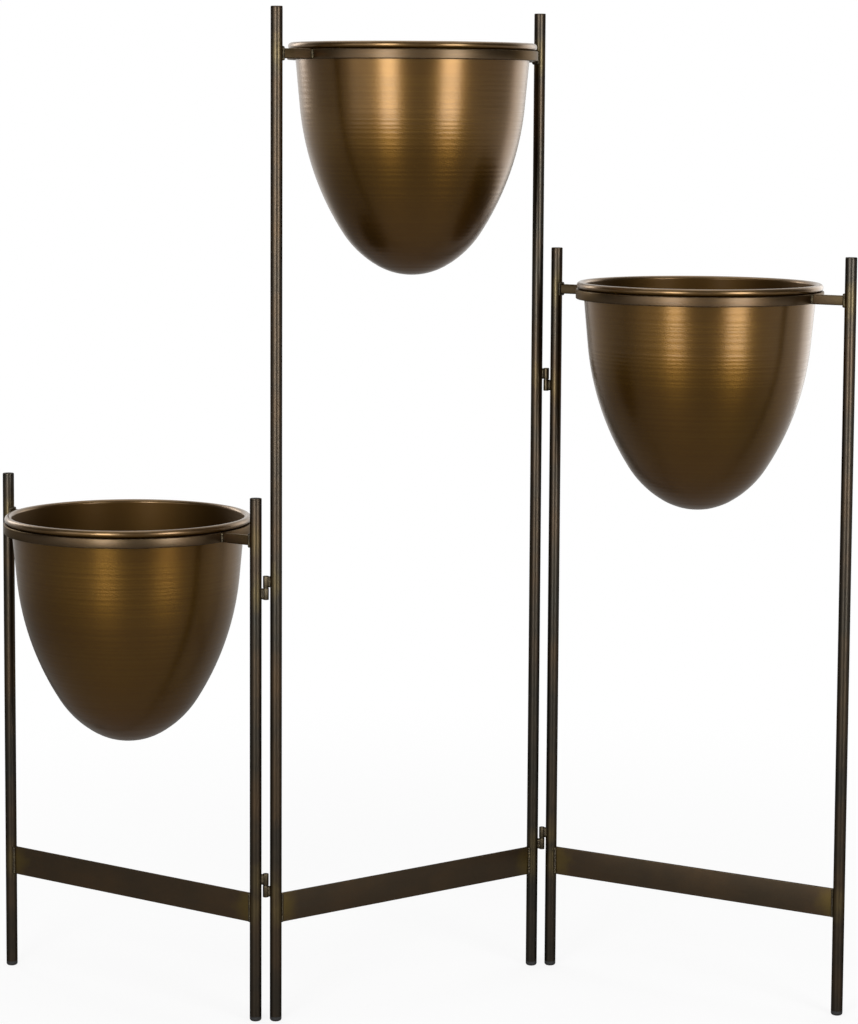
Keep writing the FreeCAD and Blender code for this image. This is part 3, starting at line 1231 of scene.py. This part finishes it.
    def _bars(self, finish: Material, arm_finish: Material) -> None:
        """Make the stretcher and the two ring arms.

        Args:
            finish: Finish of the stretcher.
            arm_finish: Finish of the arms.
        """
        left, right = self.post_points()
        low, high = box_of(self.node("stretcher"))
        level, height = UP * ((low.z + high.z) / 2), high.z - low.z
        reach = self.post_radius - self.sink
        inward = (right - left).normalized() * reach
        ends = left + inward + level, right - inward + level
        sizes = height, self.stretcher_thickness, self.stretcher_ease, self.stretcher_stations
        bar = FlatBar(*ends, *sizes)
        stretcher = placed(self.node("stretcher_cut"), bar.mesh(self.node("stretcher_bar")), finish)
        settle(stretcher, self.panel.body, Slot.FRAME, self.node("stretcher"))
        low, high = box_of(self.node("ring"))
        hub, radius = (low + high) / 2, (high.x - low.x) / 2
        for name, post in zip(self.panel.posts, (left, right)):
            outward = (post - hub).to_2d().normalized().to_3d()
            ends = hub + outward * (radius - self.sink), post + UP * hub.z - outward * reach
            arm = FlatBar(*ends, high.z - low.z, self.bar_thickness, self.bar_ease, self.arm_stations)
            piece = placed(f"{name}_arm_cut", arm.mesh(f"{name}_arm"), arm_finish)
            settle(piece, self.panel.body, Slot.FRAME, f"{name}_ring_arm")

    def _ring(self, finish: Material) -> None:
        """Make the ring.

        Args:
            finish: Its finish.
        """
        low, high = box_of(self.node("ring"))
        ease, outer = self.bar_ease, (high.x - low.x) / 2
        out, back = outer - ease, outer - self.bar_thickness + ease
        bottom, top = low.z + ease, high.z - ease
        outline: list[Mark] = []
        for side, level, start in ((out, bottom, -90), (out, top, 0), (back, top, 90), (back, bottom, 180)):
            outline += corner(side, level, ease, start, start + 90)
        mesh = Lathe(axis_of(self.node("ring")), self.ring_segments).turn(self.node("ring_bar"), outline, True)
        settle(placed(self.node("ring_rolled"), mesh, finish), self.panel.body, Slot.FRAME, self.node("ring"))

    def _upright(
        self, centre: Vector, radius: float, toward: Vector, half: float, low: float, high: float
    ) -> list[list[Vector]]:
        """Bead paths up both sides of a bar, where it meets a round face.

        Args:
            centre: Axis of the round face.
            radius: Its radius.
            toward: Direction of the bar from the axis.
            half: Half the bar's thickness.
            low: Lower end of the paths.
            high: Upper end of the paths.

        Returns:
            The two paths.
        """
        aside = half + self.bead_standoff
        along = math.sqrt((radius + self.bead_standoff) ** 2 - aside**2)
        across = Vector((-toward.y, toward.x, 0.0))
        paths = []
        for sign in (-1.0, 1.0):
            foot = centre + toward * along + across * (sign * aside)
            paths.append([Vector((foot.x, foot.y, level)) for level in (low, high)])
        return paths

    def _frame_paths(self) -> list[list[Vector]]:
        """Paths of the beads at the stretcher, the arms and the ring.

        Returns:
            The paths.
        """
        low, high = box_of(self.node("ring"))
        bar_low, bar_high = box_of(self.node("stretcher"))
        hub, ring_radius = (low + high) / 2, (high.x - low.x) / 2
        r, half, off = self.bead_radius, self.bar_thickness / 2, self.bead_standoff
        thin, round_face = self.stretcher_thickness / 2, self.post_radius
        paths: list[list[Vector]] = []
        for post in self.post_points():
            inward = (hub - post).to_2d().normalized().to_3d()
            across = Vector((-inward.y, inward.x, 0.0))
            paths += self._upright(post, round_face, inward, thin, bar_low.z + r, bar_high.z - r)
            paths += self._upright(post, round_face, inward, half, low.z, high.z)
            for level in (low.z - off, high.z + off):
                path = []
                for share in (-1.0, -0.5, 0.0, 0.5, 1.0):
                    aside = share * (half + off)
                    along = math.sqrt((round_face + off) ** 2 - aside**2)
                    path.append(post + inward * along + across * aside + UP * level)
                paths.append(path)
            paths += self._upright(hub, ring_radius, -inward, half, low.z + r, high.z - r)
        return paths

    def _hinge_paths(self) -> list[list[Vector]]:
        """Paths of the beads between the knuckles and their posts.

        Returns:
            The paths.
        """
        paths = []
        for node in self.knuckles():
            low, high = box_of(node)
            axis, barrel = (low + high) / 2, (high.x - low.x) / 2
            toward = min(((post - axis).to_2d() for post in self.post_points()), key=lambda gap: gap.length)
            middle = barrel + (toward.length - barrel - self.post_radius) / 2
            foot = axis + toward.normalized().to_3d() * middle
            ends = (low.z + self.hinge_bead_radius, high.z - self.hinge_bead_radius)
            paths.append([Vector((foot.x, foot.y, level)) for level in ends])
        return paths

    def _welds(self, trees: Trees, finish: Material) -> None:
        """Lay the beads of the bars and of the hinges.

        Args:
            trees: The Geometry Nodes trees.
            finish: Their finish.
        """
        rows = (
            ("frame", self._frame_paths(), self.bead_radius, 0.10, 3),
            ("hinge", self._hinge_paths(), self.hinge_bead_radius, 0.05, 5),
        )
        for name, paths, radius, uneven, seed in rows:
            mesh = paths_mesh(self.node(f"{name}_bead_paths"), paths)
            values = {"Radius": radius, "Pitch": self.bead_pitch, "Unevenness": uneven, "Seed": seed}
            beads = grown(self.node(f"{name}_beads"), mesh, trees.beads, {**values, "Finish": finish})
            settle(beads, self.panel.body, Slot.WELD, self.node(f"{name}_welds"))


@dataclass(frozen=True)
class Softbox:
    """One soft lamp.

    Attributes:
        name: Name of the lamp.
        place: Where it hangs.
        width: Its width.
        height: Its height.
        power: Its power in watts.
        aim: Point that it faces.
    """

    name: str
    place: Triple
    width: float
    height: float
    power: float
    aim: Triple = (0.0, 0.0, 0.95)

    def hang(self) -> None:
        """Add the lamp to the scene."""
        lamp = bpy.data.lights.new(self.name, "AREA")
        lamp.shape = "RECTANGLE"
        lamp.size, lamp.size_y = self.width, self.height
        lamp.energy = self.power
        lamp_object = bpy.data.objects.new(self.name, lamp)
        lamp_object.location = self.place
        gaze = Vector(self.aim) - Vector(self.place)
        lamp_object.rotation_euler = gaze.to_track_quat("-Z", "Y").to_euler()
        lamp_object.visible_camera = False
        bpy.context.scene.collection.objects.link(lamp_object)


LAMPS = (
    Softbox("left_strip", (-1.00, -2.23, 1.00), 0.68, 1.70, 37.0),
    Softbox("left_wash", (-1.88, -1.57, 1.10), 1.30, 1.60, 8.0),
    Softbox("right_strip", (1.44, -1.95, 1.00), 0.76, 1.70, 38.0),
    Softbox("back_left_strip", (-1.75, 1.80, 1.45), 0.60, 1.20, 9.0),
    Softbox("back_right_strip", (1.80, 1.74, 0.95), 1.50, 1.60, 8.5),
    Softbox("overhead", (0.0, 0.3, 2.6), 2.4, 1.6, 17.0, (0.0, 0.0, 0.5)),
)


@dataclass(frozen=True)
class Studio:
    """Pale floor, white surround, soft lamps and the camera.

    Attributes:
        floor_half: Half the width of the floor.
        floor_shade: Colour of the floor.
        floor_mirror: Brightness of the near and the far floor where metal mirrors it.
        floor_behind: How much brighter the mirrored floor is behind the planter.
        fill: Strength of the surround for all but the rays that show it.
        sides: Strength of the mirrored studio at the sides.
        front: How much brighter the mirrored studio is in front.
        image: Height of the image in pixels.
        focal: Focal length in pixels.
        principal: Height of the optical centre in the image, in pixels from its top.
        eye: Place of the camera.
        tilt: How far the camera looks down, in degrees.
        heading: How far it is turned to the left of +Y, in degrees.
        roll: How far it is rolled, in degrees.
    """

    floor_half: float = 14.0
    floor_shade: Colour = (0.82, 0.82, 0.82)
    floor_mirror: tuple[float, float] = (0.16, 0.50)
    floor_behind: float = 0.28
    fill: float = 0.45
    sides: float = 0.07
    front: float = 0.13
    image: float = 1024.0
    focal: float = 3054.4
    principal: float = 410.0
    eye: Triple = (-0.0685, -3.15407, 0.9316)
    tilt: float = 5.691
    heading: float = -1.468
    roll: float = 0.339

    def build(self) -> None:
        """Set up the whole studio."""
        bpy.context.scene.view_settings.view_transform = "Standard"
        self._floor()
        self._surround()
        for box in LAMPS:
            box.hang()
        self._camera()

    def _floor(self) -> None:
        """Pale floor that shows white to the camera and keeps the shadow."""
        mesh = bpy.data.meshes.new("floor")
        h = self.floor_half
        mesh.from_pydata([(-h, -h, 0.0), (h, -h, 0.0), (h, h, 0.0), (-h, h, 0.0)], [], [(0, 1, 2, 3)])
        material, web, place = new_material("pale_floor")
        web.paint(base_color=self.floor_shade, roughness=0.9)
        away = web.get("ShaderNodeVectorMath", {0: place}, "Value", operation="LENGTH")
        path = web.add("ShaderNodeLightPath").outputs
        seen = web.calc("MAXIMUM", path["Is Camera Ray"], path["Is Transmission Ray"])
        seen = web.calc("MAXIMUM", seen, path["Is Glossy Ray"])
        share = web.times(seen, web.spread(away, 0.45, 1.6, 0.84, 1.0))
        toward = {0: place, 1: (0.7, 0.7, 0.0)}
        behind = web.get("ShaderNodeVectorMath", toward, "Value", operation="DOT_PRODUCT")
        near_far = web.spread(away, 1.0, 4.5, *self.floor_mirror)
        lit = web.calc("ADD", near_far, web.spread(behind, 0.2, 1.8, 0.0, self.floor_behind))
        level = web.times(path["Is Glossy Ray"], web.calc("SUBTRACT", lit, 1.0), 1.0)
        white = web.get("ShaderNodeEmission", {"Color": (1.0, 1.0, 1.0), "Strength": level})
        nodes = web.tree.nodes
        plain = nodes["Principled BSDF"].outputs[0]
        both = web.get("ShaderNodeMixShader", {0: share, 1: plain, 2: white})
        web.feed(nodes["Material Output"].inputs["Surface"], both)
        floor = placed("floor", mesh, material)

    def _surround(self) -> None:
        """White backdrop behind the planter, dim studio at its sides and front."""
        world = bpy.data.worlds.new("studio")
        world.use_nodes = True
        bpy.context.scene.world = world
        web = Web(world.node_tree)
        path = web.add("ShaderNodeLightPath").outputs
        direction = web.get("ShaderNodeTexCoord", output="Generated")
        ahead = web.get("ShaderNodeSeparateXYZ", {0: direction}, "Y")
        front = web.spread(ahead, -0.55, -0.95, 0.0, self.front)
        mirrored = web.calc("MAXIMUM", web.spread(ahead, 0.25, 0.75), web.calc("ADD", front, self.sides))
        plain = web.times(web.calc("SUBTRACT", 1.0, path["Is Glossy Ray"]), self.fill)
        level = web.times(path["Is Glossy Ray"], mirrored, plain)
        seen = web.calc("MAXIMUM", path["Is Camera Ray"], path["Is Transmission Ray"])
        background = web.tree.nodes["Background"]
        web.feed(background.inputs["Color"], (1.0, 1.0, 1.0))
        web.feed(background.inputs["Strength"], web.calc("MAXIMUM", seen, level))

    def _camera(self) -> None:
        """Camera that stands where the photograph was taken."""
        data = bpy.data.cameras.new("camera")
        data.sensor_width = 36.0
        data.lens = self.focal * data.sensor_width / self.image
        data.shift_y = self.principal / self.image - 0.5
        camera = bpy.data.objects.new("camera", data)
        place = Matrix.Translation(self.eye)
        for angle, axis in ((self.heading, "Z"), (90.0 - self.tilt, "X"), (self.roll, "Z")):
            place = place @ Matrix.Rotation(math.radians(angle), 4, axis)
        camera.matrix_world = place
        bpy.context.scene.collection.objects.link(camera)
        bpy.context.scene.camera = camera


def main() -> None:
    """Build the planter and the studio."""
    logging.basicConfig(level=logging.INFO, format="%(name)s: %(message)s")
    effects = Effects()
    trees = Trees()
    weld = WeldBronze().build(effects)
    plastic = GlidePlastic().build(effects)
    steel = PinSteel().build(effects)
    hinges = [Hinge(hand, level) for hand in (Panel.LEFT, Panel.RIGHT) for level in Level]
    finishes = {}
    for panel in Panel:
        own = tuple(h for h in hinges if panel in (h.hand, Panel.MIDDLE))
        finishes[panel] = StandPanel(panel, own).build(trees, effects, weld, plastic)
    for hinge in hinges:
        hinge.build(finishes, steel)
    for panel in Panel:
        Pot(panel).build(trees, effects)
    Studio().build()


if __name__ == "__main__":
    main()
